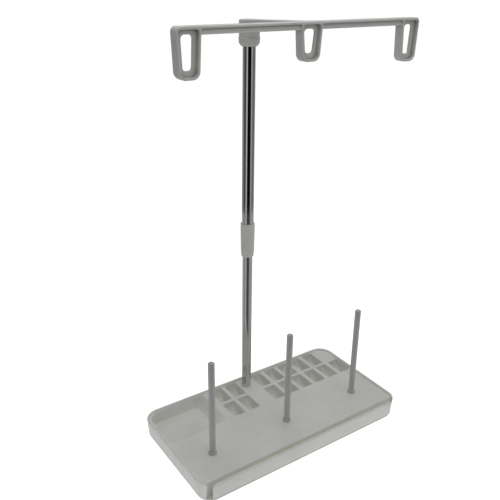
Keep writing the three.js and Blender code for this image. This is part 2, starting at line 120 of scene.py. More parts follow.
def rounded(corners, steps=8):
    """Closed outline through corners (x, y, radius), each corner replaced by a tangent arc."""
    points = []
    for i, (x, y, radius) in enumerate(corners):
        corner = Vector((x, y))
        before = (Vector(corners[i - 1][:2]) - corner).normalized()
        after = (Vector(corners[(i + 1) % len(corners)][:2]) - corner).normalized()
        if not radius:
            points.append(corner)
            continue
        half = before.angle(after) / 2
        centre = corner + (before + after).normalized() * (radius / math.sin(half))
        start = corner + before * (radius / math.tan(half)) - centre
        end = corner + after * (radius / math.tan(half)) - centre
        first = math.atan2(start.y, start.x)
        sweep = math.atan2(end.y, end.x) - first
        sweep = (sweep + math.pi) % (2 * math.pi) - math.pi
        for k in range(steps + 1):
            angle = first + sweep * k / steps
            points.append(centre + Vector((math.cos(angle), math.sin(angle))) * radius)
    return points


def rectangle(x0, x1, y0, y1, radius, steps=8):
    return rounded([(x0, y0, radius), (x1, y0, radius), (x1, y1, radius), (x0, y1, radius)], steps)


def grown(outline, distance, share=lambda point: 1):
    """The outline pushed outwards by distance, point for point; share scales it where asked."""
    turn = sum(a.x * b.y - b.x * a.y for a, b in zip(outline, outline[1:] + outline[:1]))
    side = 1 if turn > 0 else -1
    moved = []
    for i, point in enumerate(outline):
        along = (point - outline[i - 1]).normalized()
        onward = (outline[(i + 1) % len(outline)] - point).normalized()
        n1 = Vector((along.y, -along.x)) * side
        n2 = Vector((onward.y, -onward.x)) * side
        moved.append(point + (n1 + n2) * (distance * share(point) / max(1 + n1.dot(n2), 0.2)))
    return moved


def quarter_steps(radius, steps):
    """(inset, drop) pairs from the flat face round to the side face."""
    angles = [QUARTER * k / steps for k in range(steps + 1)]
    return [(radius * (1 - math.sin(a)), radius * (1 - math.cos(a))) for a in angles]


def at_z(outline, z):
    return [(p.x, p.y, z) for p in outline]


def at_y(outline, y):
    return [(p.x, y, p.y) for p in outline]


def soft_profile(corners, steps=4):
    """Open turned profile from (radius, z, fillet) corners; the two ends stay sharp."""
    loop = [Vector(c[:2]) for c in corners]
    points = [loop[0]]
    for i in range(1, len(corners) - 1):
        triple = [tuple(loop[i - 1]) + (0,), tuple(corners[i]), tuple(loop[i + 1]) + (0,)]
        points.extend(rounded(triple, steps)[1:-1])
    points.append(loop[-1])
    return points


# ---- closed skins ----
class Skin:
    """Faces gathered in millimetres, welded into one closed mesh when the piece is made."""

    def __init__(self):
        self.points = []
        self.faces = []

    def add(self, points):
        first = len(self.points)
        self.points.extend(Vector(p) for p in points)
        return list(range(first, len(self.points)))

    def polygon(self, points):
        self.faces.append(self.add(points))

    def strip(self, a, b, closed=True):
        """Quads between two rows of points of the same length."""
        low, high = self.add(a), self.add(b)
        count = len(a)
        for i in range(count if closed else count - 1):
            j = (i + 1) % count
            self.faces.append([low[i], low[j], high[j], high[i]])

    def rows(self, rows, closed=True):
        for a, b in zip(rows, rows[1:]):
            self.strip(a, b, closed)

    def flat(self, loops):
        """A flat face with holes: the outside loop first."""
        points = [Vector(p) for loop in loops for p in loop]
        spans = [max(p[axis] for p in points) - min(p[axis] for p in points) for axis in range(3)]
        kept = [axis for axis in range(3) if axis != spans.index(min(spans))]
        outlines = []
        for loop in loops:
            first = sum(len(outline) for outline in outlines)
            outlines.append(list(range(first, first + len(loop))))
        plan = [Vector((p[kept[0]], p[kept[1]])) for p in points]
        _, _, triangles, sources, _, owners = delaunay_2d_cdt(plan, [], outlines, 1, 1e-6)
        index = self.add(points)
        for triangle, owner in zip(triangles, owners):
            if owner == [0]:
                self.faces.append([index[sources[k][0]] for k in triangle])

    def turned(self, profile, x, y, segments):
        """Profile (radius, z) swept round the upright axis through (x, y)."""
        rows = []
        for radius, z in profile:
            ring = []
            for k in range(segments):
                angle = 2 * math.pi * k / segments
                ring.append((x + radius * math.cos(angle), y + radius * math.sin(angle), z))
            rows.append(ring)
        self.rows(rows)

    def make(self, name, body, nodes, material):
        mesh = bpy.data.meshes.new(name)
        bm = bmesh.new()
        verts = [bm.verts.new(p * MM) for p in self.points]
        for face in self.faces:
            bm.faces.new([verts[i] for i in face])
        bmesh.ops.remove_doubles(bm, verts=bm.verts, dist=2e-6)
        bmesh.ops.dissolve_degenerate(bm, edges=bm.edges, dist=1e-7)
        bmesh.ops.recalc_face_normals(bm, faces=bm.faces)
        bm.to_mesh(mesh)
        bm.free()
        mesh.shade_smooth()
        piece = bpy.data.objects.new(name, mesh)
        bpy.context.scene.collection.objects.link(piece)
        mesh.materials.append(material)
        normals = piece.modifiers.new("even_shading", "WEIGHTED_NORMAL")
        normals.keep_sharp = True
        normals.weight = 80
        mesh.set_sharp_from_angle(angle=math.radians(50))
        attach(piece, body)
        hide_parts(*nodes)


# ---- materials ----
def node(tree, kind, **values):
    made = tree.nodes.new(kind)
    for key, value in values.items():
        setattr(made, key, value)
    return made


def new_material(name):
    material = bpy.data.materials.new(name)
    material.use_nodes = True
    return material, material.node_tree, material.node_tree.nodes["Principled BSDF"]


def own_coordinates(tree):
    return node(tree, "ShaderNodeTexCoord").outputs["Object"]


def noise(tree, coords, scale, detail):
    made = node(tree, "ShaderNodeTexNoise")
    made.inputs["Scale"].default_value = scale
    made.inputs["Detail"].default_value = detail
    made.inputs["Roughness"].default_value = 0.55
    tree.links.new(coords, made.inputs["Vector"])
    return made.outputs["Fac"]


def ranged(tree, source, low, high, start=0.3, end=0.7):
    """The source's values from start to end, spread over low to high."""
    made = node(tree, "ShaderNodeMapRange")
    made.inputs["From Min"].default_value = start
    made.inputs["From Max"].default_value = end
    made.inputs["To Min"].default_value = low
    made.inputs["To Max"].default_value = high
    tree.links.new(source, made.inputs["Value"])
    return made.outputs["Result"]


def mixed(tree, factor, first, second):
    """Colour from first to second; each is a colour or another node's output."""
    made = node(tree, "ShaderNodeMix", data_type="RGBA", blend_type="MIX")
    tree.links.new(factor, made.inputs[0])
    for socket, value in ((made.inputs[6], first), (made.inputs[7], second)):
        if isinstance(value, bpy.types.NodeSocket):
            tree.links.new(value, socket)
        else:
            socket.default_value = (*value, 1)
    return made.outputs[2]


def bump(tree, height, strength, distance):
    made = node(tree, "ShaderNodeBump")
    made.inputs["Strength"].default_value = strength
    made.inputs["Distance"].default_value = distance
    tree.links.new(height, made.inputs["Height"])
    return made


def shaded(colour, factor):
    return tuple(c * factor for c in colour)


def moulded_plastic(name, colour, hollow_shading_colour, rough, grain=1.0, depth=0.5, coat=0.0):
    """Injection-moulded plastic: clouded colour, fine grain, uneven gloss, and painted shade in hollows
    (painted light where the hollow colour is lighter than the body).
    """
    material, tree, shader = new_material(name)
    coords = own_coordinates(tree)
    clouds = ranged(tree, noise(tree, coords, 34, 4), 0, 1)
    body = mixed(tree, clouds, shaded(colour, 0.95), shaded(colour, 1.05))
    specks = ranged(tree, noise(tree, coords, 900, 2), 0, 0.06, 0.45, 0.7)
    body = mixed(tree, specks, body, shaded(colour, 0.8))
    # Painted shade: where ambient occlusion finds a hollow, the colour is mixed toward the hollow colour
    # by up to depth; a hollow colour lighter than the body paints light into the hollows instead.
    crevice = node(tree, "ShaderNodeAmbientOcclusion", samples=6)
    crevice.inputs["Distance"].default_value = 0.006
    shade = ranged(tree, crevice.outputs["AO"], depth, 0, 0.3, 0.85)
    body = mixed(tree, shade, body, hollow_shading_colour)
    tree.links.new(body, shader.inputs["Base Color"])
    gloss = ranged(tree, noise(tree, coords, 75, 5), rough - 0.05, rough + 0.07)
    tree.links.new(gloss, shader.inputs["Roughness"])
    shader.inputs["IOR"].default_value = 1.46
    shader.inputs["Coat Weight"].default_value = coat
    shader.inputs["Coat Roughness"].default_value = 0.2
    shader.inputs["Coat IOR"].default_value = 1.7
    fine = bump(tree, noise(tree, coords, 2600, 3), 0.22 * grain, 0.00006)
    broad = bump(tree, noise(tree, coords, 55, 2), 0.25 * grain, 0.0005)
    tree.links.new(broad.outputs["Normal"], fine.inputs["Normal"])
    tree.links.new(fine.outputs["Normal"], shader.inputs["Normal"])
    return material


def plated_metal(name, colour, rough, stretch):
    """Bright metal with drawn lines along the part and faint handling marks."""
    material, tree, shader = new_material(name)
    shader.inputs["Metallic"].default_value = 1
    coords = own_coordinates(tree)
    mapping = node(tree, "ShaderNodeMapping")
    mapping.inputs["Scale"].default_value = (1, 1, stretch)
    tree.links.new(coords, mapping.inputs["Vector"])
    lines = noise(tree, mapping.outputs["Vector"], 1500, 3)
    marks = noise(tree, coords, 90, 5)
    body = mixed(tree, ranged(tree, marks, 0, 1), shaded(colour, 0.93), colour)
    tree.links.new(body, shader.inputs["Base Color"])
    tree.links.new(ranged(tree, marks, rough, rough * 1.9), shader.inputs["Roughness"])
    drawn = bump(tree, lines, 0.05, 0.00003)
    tree.links.new(drawn.outputs["Normal"], shader.inputs["Normal"])
    return material


# Hollow colours: the base plastic paints light into its slots, groove and dish; the cover, pins, trim and
# rubber paint shade into their recesses. trim_plastic has the base plastic's colour, with darker painted
# shade in its recesses.
plastic = moulded_plastic("moulded_plastic", (0.80, 0.803, 0.775), (0.97, 0.96, 0.87), 0.36, depth=1.0)
cover_plastic = moulded_plastic("cover_plastic", (0.66, 0.66, 0.63), (0.72, 0.72, 0.60), 0.5, 2.0)
pin_plastic = moulded_plastic("pin_plastic", (0.49, 0.50, 0.48), (0.40, 0.40, 0.34), 0.27, coat=0.8)
trim_plastic = moulded_plastic("trim_plastic", (0.80, 0.805, 0.775), (0.30, 0.30, 0.27), 0.36, depth=0.85)
chrome = plated_metal("chrome_tube", (0.62, 0.62, 0.61), 0.055, 0.02)
steel = plated_metal("zinc_steel", (0.5, 0.5, 0.48), 0.24, 1.0)
rubber = moulded_plastic("rubber", (0.16, 0.16, 0.155), (0.08, 0.08, 0.075), 0.75, 2.5)


# ---- base: outlines ----
def wall_path(shrink):
    """Outside of the base from the right notch round the back to the left notch."""
    radius = CORNER - shrink
    reach = math.degrees(math.acos((NOTCH_X - CORNER_X) / radius))
    path = arc(CORNER_X, -CORNER_Y, radius, -reach, 0, 12)
    path += arc(CORNER_X, CORNER_Y, radius, 0, 90, 16)
    path += arc(-CORNER_X, CORNER_Y, radius, 90, 180, 16)
    path += arc(-CORNER_X, -CORNER_Y, radius, 180, 180 + reach, 12)
    return path


def deck_path(inset):
    """Inside of the rim; the inset fades out at the two front ends."""
    radius = CORNER - WALL - inset
    turn_y = NOTCH_Y + DECK_CORNER
    steps = 8
    path = []
    for k, p in enumerate(arc(NOTCH_X, turn_y, DECK_CORNER, -90, 0, steps)):
        path.append(p + (Vector((NOTCH_X, turn_y)) - p).normalized() * inset * k / steps)
    path += arc(CORNER_X, CORNER_Y, radius, 0, 90, 16)
    path += arc(-CORNER_X, CORNER_Y, radius, 90, 180, 16)
    path += [Vector((-p.x, p.y)) for p in reversed(path[:steps + 1])]
    return path


def slot_outlines():
    """The bobbin slots: two columns left of the mast, six and five to the right of it."""
    places = [(x, row) for x in COLUMNS_LEFT for row in (SLOTS_FRONT, SLOTS_BACK)]
    places += [(FIRST_RIGHT + k * SLOT_PITCH, SLOTS_FRONT) for k in range(6)]
    places += [(FIRST_RIGHT + k * SLOT_PITCH, SLOTS_BACK) for k in range(5)]
    return [rectangle(x - SLOT_HALF, x + SLOT_HALF, y0, y1, 1, 4) for x, (y0, y1) in places]


# ---- base: hollows in the deck ----
def lip_rows(outline, radius):
    """Rows round the lip of a hollow, from the deck down."""
    return [at_z(grown(outline, inset), DECK - drop) for inset, drop in quarter_steps(radius, 3)]


def sink(skin, rows):
    """A hollow below the deck, closed by its last row. Returns its edge on the deck."""
    skin.rows(rows)
    skin.flat([rows[-1]])
    return rows[0]


def sink_dish(skin):
    """Steep at the back and left, scooped up to the deck at the front and right."""
    edge_line = rounded([
        (DISH_LEFT, DISH_FRONT, 5), (DISH_RIGHT, DISH_FRONT, 7),
        (DISH_RIGHT, DISH_BACK, 3), (DISH_LEFT, DISH_BACK, 11),
    ])
    foot_line = rounded([
        (FOOT_LEFT, FOOT_FRONT, 5), (FOOT_RIGHT, FOOT_FRONT, 6),
        (FOOT_RIGHT, FOOT_BACK, 4), (FOOT_LEFT, FOOT_BACK, 10),
    ])

    def steep(point):
        from_front = (point.y - DISH_FRONT) / (FOOT_FRONT - DISH_FRONT)
        from_right = (DISH_RIGHT - point.x) / (DISH_RIGHT - FOOT_RIGHT)
        return min(max(min(from_front, from_right), 0), 1)

    lip, steps = 0.3, 18
    rows = []
    for inset, drop in quarter_steps(lip, 3):
        loop = grown(edge_line, inset, steep)
        rows.append([(*p, DECK - drop * steep(edge)) for p, edge in zip(loop, edge_line)])
    for k in range(1, steps + 1):
        t = k / steps
        fall = t * t * (3 - 2 * t)
        row = []
        for edge, foot in zip(edge_line, foot_line):
            top = DECK - lip * steep(edge)
            row.append((*edge.lerp(foot, t), top - (top - HOLLOW_FLOOR) * fall))
        rows.append(row)
    return sink(skin, rows)


def sink_slot(skin, outline):
    """A bobbin slot, its floor curved like the bobbin that stands in it."""
    trough, steps = 9.5, 9
    rows = lip_rows(outline, 0.35)
    middle = sum(p.y for p in outline) / len(outline)
    for k in range(steps):
        angle = QUARTER * k / steps
        z = HOLLOW_FLOOR + trough * (1 - math.sin(angle))
        rows.append([(p.x, middle + (p.y - middle) * math.cos(angle), z) for p in outline])
    return sink(skin, rows)


def sink_mast_hole(skin):
    """The round hole that the lower tube stands in."""
    fillet = 0.1
    outline = circle(0, MAST_Y, MAST_HOLE_RADIUS, 48)
    rows = lip_rows(outline, 0.3)
    for inset, drop in reversed(quarter_steps(fillet, 4)):
        rows.append(at_z(grown(outline, inset - fillet), MAST_HOLE_FLOOR + drop))
    return sink(skin, rows)


# ---- base: the faces round the deck ----
def skin_rim(skin):
    """The rounded top of the wall, rounded less at its two front ends."""
    def near_notch(point):
        return 0.3 + 0.7 * min(max((point.y - NOTCH_Y - 0.5) / 5, 0), 1)

    rim = wall_path(0) + deck_path(0)[::-1]
    rows = []
    for inset, drop in quarter_steps(RIM_ROUND, 4):
        rows.append(at_z(grown(rim, -inset, near_notch), BASE_TOP - drop))
    skin.rows(rows)
    skin.flat([rows[0]])


def skin_outer_wall(skin):
    """The drafted outside, notch to notch round the back. Returns its bottom edge."""
    rows = []
    for z in (SHOULDER, DECK, BASE_BOTTOM):
        shrink = DRAFT * (BASE_TOP - z) / (BASE_TOP - BASE_BOTTOM) if z < SHOULDER else 0
        path = [Vector((NOTCH_X, NOTCH_Y))] + wall_path(shrink) + [Vector((-NOTCH_X, NOTCH_Y))]
        rows.append(at_z(path, z))
    skin.rows(rows, closed=False)
    return rows[-1]


def skin_inner_wall(skin):
    """The inside of the rim with a fillet at its foot. Returns the edge where it meets the deck."""
    fillet = 0.25
    rows = [at_z(deck_path(0), SHOULDER)]
    for inset, drop in reversed(quarter_steps(fillet, 2)):
        rows.append(at_z(deck_path(fillet - inset), DECK + drop))
    skin.rows(rows, closed=False)
    return rows[-1]


def skin_front_edge(skin):
    """The deck's rounded front edge, sharp at both ends. Returns its upper and lower row."""
    stations = [(-NOTCH_X, 0), (-109.2, 0.3), (-107.6, 0.6), (107.6, 0.6), (109.2, 0.3), (NOTCH_X, 0)]
    rows = []
    for inset, drop in quarter_steps(1, 3):
        rows.append([(x, NOTCH_Y + radius * inset, DECK - radius * drop) for x, radius in stations])
    skin.rows(rows, closed=False)
    return rows[0], rows[-1]


def skin_front_and_bay(skin, front_edge, bottom):
    """The face below the deck's front edge, the drawer's bay behind it and the base's underside."""
    face = [(NOTCH_X, NOTCH_Y, BASE_BOTTOM), (NOTCH_X, NOTCH_Y, DECK)]
    face += front_edge[1:-1][::-1]
    face += [(-NOTCH_X, NOTCH_Y, DECK), (-NOTCH_X, NOTCH_Y, BASE_BOTTOM)]
    face += [(-BAY_X, NOTCH_Y, BASE_BOTTOM), (-BAY_X, NOTCH_Y, HEADER_BOTTOM)]
    face += [(BAY_X, NOTCH_Y, HEADER_BOTTOM), (BAY_X, NOTCH_Y, BASE_BOTTOM)]
    skin.flat([face])
    bay = [
        (NOTCH_Y, BASE_BOTTOM), (NOTCH_Y, HEADER_BOTTOM), (HEADER_BACK, HEADER_BOTTOM),
        (HEADER_BACK, BAY_CEILING), (BAY_BACK, BAY_CEILING), (BAY_BACK, BASE_BOTTOM),
    ]
    left = [(-BAY_X, y, z) for y, z in bay]
    right = [(BAY_X, y, z) for y, z in bay]
    skin.strip(left[1:], right[1:], closed=False)
    skin.flat([left])
    skin.flat([right])
    skin.flat([bottom + [left[0], left[-1], right[-1], right[0]]])


def skin_bosses(skin):
    """The bosses on the bay's ceiling that the pins' screws go through."""
    radius, bottom, top = 5, 13.2, 15.2
    profile = soft_profile([(0, bottom, 0), (radius, bottom, 0.4), (radius, top, 0), (0, top, 0)])
    for place in PIN_PLACES:
        x, y, _, _, _ = round_part(f"spool_pin_{place}")
        skin.turned(profile, x, y, 40)


def build_base():
    skin = Skin()
    skin_rim(skin)
    bottom = skin_outer_wall(skin)
    deck_edge = skin_inner_wall(skin)
    front_upper, front_lower = skin_front_edge(skin)
    hollows = [sink_slot(skin, outline) for outline in slot_outlines()]
    hollows.append(sink_dish(skin))
    hollows.append(sink_mast_hole(skin))
    skin.flat([deck_edge + front_upper[1:-1], *hollows])
    skin_front_and_bay(skin, front_lower, bottom)
    skin_bosses(skin)
    skin.make("base_shell", "base", ["base_body"], plastic)


build_base()


# ---- base cover, screws and feet ----
def build_cover():
    """The bottom plate, with a well round each foot, screw and washer."""
    skin = Skin()
    half_x, half_y = cover_high.x, cover_high.y
    outline = rectangle(-half_x, half_x, -half_y, half_y, CORNER - 1.7, 14)
    low, high = cover_low.z, cover_high.z
    rows = [at_z(grown(outline, -inset), low + drop) for inset, drop in quarter_steps(0.9, 4)]
    rows += [at_z(grown(outline, -inset), high - drop) for inset, drop in reversed(quarter_steps(0.3, 2))]
    skin.rows(rows)
    skin.flat([rows[-1]])
    holes = []
    wells = [(f"foot_{place}", 0.3, 0.4) for place in FOOT_PLACES]
    wells += [(f"cover_screw_{place}", 0.3, 1.3) for place in SCREW_PLACES]
    wells.append(("mast_washer", 0.6, 1.7))
    for name, gap, depth in wells:
        x, y, radius, _, _ = round_part(name)
        ring = circle(x, y, radius + gap, 40)
        well = [at_z(grown(ring, inset), low + drop) for inset, drop in quarter_steps(0.15, 2)]
        well.append(at_z(ring, low + depth))
        skin.rows(well)
        skin.flat([well[-1]])
        holes.append(well[0])
    skin.flat([rows[0], *holes])
    skin.make("base_cover_plate", "base", ["base_cover"], cover_plastic)


build_cover()


def cross_outline(x, y, reach, half):
    """Cross-shaped driver recess."""
    quarter = [(reach, -half), (reach, half), (half, half)]
    points = []
    for k in range(4):
        c, s = round(math.cos(QUARTER * k)), round(math.sin(QUARTER * k))
        points += [Vector((x + a * c - b * s, y + a * s + b * c)) for a, b in quarter]
    return points


def build_screw(name, head, shank, reach):
    """A pan-head screw seen from below: head high, shank thick, with a cross of the given reach."""
    x, y, radius, bottom, tip = round_part(name)
    skin = Skin()
    top = bottom + head
    crown = radius * 0.82
    skin.turned(soft_profile([
        (crown, bottom, 0), (radius, bottom + head * 0.45, 0.25), (radius, top, 0.1),
        (shank, top, 0), (shank, tip - 1, 0.2), (0, tip, 0),
    ]), x, y, 48)
    recess = cross_outline(x, y, reach, 0.32)
    foot = grown(recess, -0.06)
    floor = bottom + min(0.7, head * 0.6)
    skin.flat([at_z(circle(x, y, crown, 48), bottom), at_z(recess, bottom)])
    skin.rows([at_z(recess, bottom), at_z(foot, floor)])
    skin.flat([at_z(foot, floor)])
    skin.make(f"{name}_turned", "base", [name], steel)


def build_foot(place):
    x, y, radius, bottom, top = round_part(f"foot_{place}")
    foot = Skin()
    profile = soft_profile([(0, bottom, 0), (radius, bottom, 0.7), (radius, top, 0), (0, top, 0)], 5)
    foot.turned(profile, x, y, 56)
    foot.make(f"rubber_foot_{place}", "base", [f"foot_{place}"], rubber)


for place in SCREW_PLACES:
    build_screw(f"cover_screw_{place}", 1.0, 1.08, 1.6)
for place in PIN_PLACES:
    build_screw(f"pin_screw_{place}", 1.5, 1.0, 1.7)
build_screw("mast_screw", 1.4, 1.43, 1.8)
for place in FOOT_PLACES:
    build_foot(place)


# ---- drawer ----
def front_plate(skin, outline, y0, y1, edge, holes=(), hole_edge=0):
    """Front-view outline run from y0 to y1 with rounded rims, and holes with rounded rims."""
    def side_face(loop, radius, sign):
        turn = quarter_steps(radius, 4)
        rows = [at_y(grown(loop, -sign * inset), y0 + drop) for inset, drop in turn]
        rows += [at_y(grown(loop, -sign * inset), y1 - drop) for inset, drop in reversed(turn)]
        skin.rows(rows)
        return rows[0], rows[-1]

    rims = [side_face(outline, edge, 1)] + [side_face(hole, hole_edge, -1) for hole in holes]
    skin.flat([front for front, _ in rims])
    skin.flat([back for _, back in rims])


def skin_tray(skin, front, back, bottom):
    """The open tray behind the drawer's front."""
    half, top, wall, floor = 98.8, 11.2, 1.4, 1.2
    rim, fillet = quarter_steps(0.35, 2), 0.9
    outline = rectangle(-half, half, front, back, 2.5)
    cavity = grown(outline, -wall)
    rows = [at_z(grown(outline, -inset), bottom + drop) for inset, drop in quarter_steps(0.6, 3)]
    rows += [at_z(grown(outline, -inset), top - drop) for inset, drop in reversed(rim)]
    rows += [at_z(grown(cavity, inset), top - drop) for inset, drop in rim]
    for inset, drop in reversed(quarter_steps(fillet, 3)):
        rows.append(at_z(grown(cavity, inset - fillet), bottom + floor + drop))
    skin.rows(rows)
    skin.flat([rows[0]])
    skin.flat([rows[-1]])


def build_drawer():
    """Front panel with its pull lip, a ledge that closes the groove, the tray and its two stops."""
    skin = Skin()
    half = drawer_high.x
    bottom, top = drawer_low.z, drawer_high.z
    lip_y = drawer_low.y
    face_y, back_y = lip_y + 1.25, lip_y + 2.85
    panel = rectangle(-half, half, bottom, top - 0.35, 2.4)
    front_plate(skin, panel, face_y, back_y, 0.45)
    lip = rectangle(-half + 0.5, half - 0.5, top - 2.2, top, 1.05)
    front_plate(skin, lip, lip_y, back_y - 0.2, 0.5)
    tray_back = drawer_high.y
    skin_tray(skin, back_y - 0.8, tray_back, bottom)
    ledge = rectangle(-half + 4, half - 4, 11.0, 13.3, 0.5)
    front_plate(skin, ledge, back_y - 0.4, NOTCH_Y - 0.25, 0.25)
    for x in (-50, 50):
        stop = rectangle(x - 5, x + 5, 9, 13.4, 0.8)
        front_plate(skin, stop, tray_back - 1.38, tray_back - 0.02, 0.3)
    skin.make("drawer_moulding", "drawer_body", ["drawer"], plastic)


build_drawer()


# ---- spool pins ----
def build_pin(place):
    """A spigot in the deck, a flange on it, and a pin that widens slightly toward its round top."""
    x, y, flange, bottom, top = round_part(f"spool_pin_{place}")
    spigot, root, tip = 2.05, 2.85, 3.0
    seat = DECK + 0.02
    pin = Skin()
    profile = soft_profile([
        (0, bottom, 0), (spigot, bottom, 0.3), (spigot, seat, 0), (flange, seat, 0.1),
        (flange, 18.9, 0.55), (root, 19.1, 0.5), (tip, top, 1.9), (0, top, 0),
    ], 5)
    pin.turned(profile, x, y, 64)
    pin.make(f"pin_{place}", "base", [f"spool_pin_{place}"], pin_plastic)


for place in PIN_PLACES:
    build_pin(place)


# ---- mast ----
FIT = 0.06
HUB_SEAT = 367


def ring_points(loop):
    """A closed profile for turning, from its outline."""
    return [tuple(p) for p in loop + loop[:1]]


def build_tube(name, node_name, body):
    _, _, radius, bottom, top = round_part(node_name)
    wall = 0.6
    skin = Skin()
    skin.turned(ring_points(rectangle(radius - wall, radius, bottom, top, 0.15, 3)), 0, MAST_Y, 128)
    skin.make(name, body, [node_name], chrome)


def build_collar():
    """The sleeve at the joint of the tubes: narrow at the foot, straight at the top."""
    _, _, radius, bottom, top = round_part("collar")
    skin = Skin()
    loop = rounded([
        (LOWER_RADIUS + FIT, bottom, 0), (5.9, bottom, 0.5), (radius - 0.35, bottom + 5.5, 3),
        (radius, top - 8, 6), (radius, top, 0.5), (UPPER_RADIUS + FIT, top, 0),
        (UPPER_RADIUS + FIT, UPPER_FOOT, 0), (LOWER_RADIUS + FIT, UPPER_FOOT, 0),
    ], 5)
    skin.turned(ring_points(loop), 0, MAST_Y, 96)
    skin.make("collar_moulding", "upper_mast", ["collar"], trim_plastic)


def build_bush():
    """The cap on the upper tube: a cup below, a flange the hub rests on, and the bearing in the hub."""
    _, _, flange, bottom, top = round_part("head_bush")
    cup, bearing = 9.0, 7.4
    roof = UPPER_TOP + 0.02
    skin = Skin()
    loop = soft_profile([
        (0, roof, 0), (UPPER_RADIUS + FIT, roof, 0), (UPPER_RADIUS + FIT, bottom, 0), (6.9, bottom, 0.3),
        (cup, bottom + 2.6, 1.8), (cup, HUB_SEAT - 1.3, 0.1), (flange, HUB_SEAT - 1.0, 0.2),
        (flange, HUB_SEAT, 0.6), (bearing, HUB_SEAT, 0), (bearing, top, 0.6), (0, top, 0),
    ], 5)
    skin.turned(loop, 0, MAST_Y, 96)
    skin.make("bush_moulding", "upper_mast", ["head_bush"], trim_plastic)


build_tube("lower_tube_drawn", "lower_tube", "base")
build_tube("upper_tube_drawn", "upper_tube", "upper_mast")
build_collar()
build_bush()

# ---- thread guide ----
TOP = guide_high.z
GUIDE_HALF = guide_high.x
GUIDE_FRONT = guide_low.y
GUIDE_DEPTH = 8.6
GUIDE_BACK = GUIDE_FRONT + GUIDE_DEPTH
GUIDE_MID = GUIDE_FRONT + GUIDE_DEPTH / 2
RIM = 2.1
FLANGE = 1.8
WEB_HALF = 1.1
BAR_HEIGHT = 5.8
UNDER = TOP - BAR_HEIGHT
OUTER = {"top": 9.9, "low": 8.2, "drop": 34.6, "hole_top": 4.6, "hole_low": 3.5}
INNER = {"top": 10.2, "low": 8.3, "drop": 28.7, "hole_top": 5.5, "hole_low": 3.6}
LOOPS = [(-103.6, OUTER), (0, INNER), (103.6, OUTER)]
BAR_SPANS = [(-94.6, -9.2), (9.2, 94.6)]
HUB_TOP = 381.3
HUB_RADIUS = guide_high.y - MAST_Y
ARM_NECK = 5.4
ARM_ROOT = 7.6
ARM_FOOT = 22
ARM_WEB_HALF = 1.6


def guide_outline(under, inset, end_radius, low_radius, fillet):
    """The cross bar with its three loops, seen from the front."""
    top, half = TOP - inset, GUIDE_HALF - inset
    corners = [(half, top, end_radius), (-half, top, end_radius)]
    for x, size in LOOPS:
        wide, narrow = size["top"] - inset, size["low"] - inset
        bottom = TOP - size["drop"] + inset
        if x >= 0:
            corners.append((x - wide, under, fillet))
        corners += [(x - narrow, bottom, low_radius), (x + narrow, bottom, low_radius)]
        if x <= 0:
            corners.append((x + wide, under, fillet))
    return rounded(corners)


def tapered(x, half_top, half_low, top, bottom, top_radius, low_radius):
    return rounded([
        (x - half_top, top, top_radius), (x - half_low, bottom, low_radius),
        (x + half_low, bottom, low_radius), (x + half_top, top, top_radius),
    ], 7)


def arm_height(y):
    """Top of the arm: level with the bar at the front, falling to the hub."""
    hub_front = MAST_Y - HUB_RADIUS + 1
    t = min(max((y - GUIDE_BACK) / (hub_front - GUIDE_BACK), 0), 1)
    return TOP - 0.02 - (TOP - HUB_TOP) * t


def sloped_plate(skin, outline, top, bottom, edge, low_edge):
    """A plan outline between two faces that follow the arm's fall."""
    def lay(inset, drop):
        return [(p.x, p.y, arm_height(p.y) - drop) for p in grown(outline, -inset)]

    rows = [lay(inset, top + drop) for inset, drop in quarter_steps(edge, 4)]
    rows += [lay(inset, bottom - drop) for inset, drop in reversed(quarter_steps(low_edge, 3))]
    skin.rows(rows)
    skin.flat([rows[0]])
    skin.flat([rows[-1]])


def web_slope(skin, x0, x1):
    """The bar's web thickens toward its lower edge, on the front and on the back."""
    front, back = GUIDE_MID - WEB_HALF, GUIDE_MID + WEB_HALF
    high, low = TOP - RIM + 0.4, UNDER + 0.02
    ring = rounded([
        (front - 1.4, high, 0), (front - 2.6, low, 0.4), (back + 2.6, low, 0.4), (back + 1.4, high, 0),
    ], 4)
    rows = [[(x, p.x, p.y) for p in ring] for x in (x0, x1)]
    skin.rows(rows)
    for row in rows:
        skin.polygon(row)


def skin_bar(skin):
    """The bar and its loops: a flanged rim all round, and a thin web with a hole in each loop."""
    recesses, holes = [], []
    for x, size in LOOPS:
        low = TOP - size["drop"]
        half_top, half_low = size["top"] - FLANGE, size["low"] - FLANGE
        recesses.append(tapered(x, half_top, half_low, TOP - RIM, low + FLANGE, 2.2, 4))
        holes.append(tapered(x, size["hole_top"], size["hole_low"], TOP - 5.4, low + 6, 2.8, 2.4))
    rim_line = guide_outline(TOP - RIM, 0, 3.6, 5.8, 0.7)
    front_plate(skin, rim_line, GUIDE_FRONT, GUIDE_BACK, 0.85, recesses, 0.4)
    web_line = guide_outline(UNDER, 0.9, 2.7, 4.9, 2.6)
    front_plate(skin, web_line, GUIDE_MID - WEB_HALF, GUIDE_MID + WEB_HALF, 0.3, holes, 0.35)
    for x0, x1 in BAR_SPANS:
        web_slope(skin, x0, x1)


def skin_arm(skin):
    """The arm from the bar to the hub: a flat plate that flares at both ends, and a web under it."""
    near, far = GUIDE_BACK - 2.8, GUIDE_BACK - 0.6
    plan = rounded([
        (-ARM_ROOT, MAST_Y, 0), (-ARM_NECK, far, 10), (-ARM_FOOT, far, 0), (-ARM_FOOT, near, 0),
        (ARM_FOOT, near, 0), (ARM_FOOT, far, 0), (ARM_NECK, far, 10), (ARM_ROOT, MAST_Y, 0),
    ], 10)
    sloped_plate(skin, plan, 0, 2.2, 0.5, 0.3)
    web_front, web_back = GUIDE_BACK - 1.5, MAST_Y - HUB_RADIUS + 0.8
    web = rectangle(-ARM_WEB_HALF, ARM_WEB_HALF, web_front, web_back, 0.5, 3)
    sloped_plate(skin, web, 1.2, BAR_HEIGHT, 0.2, 0.4)


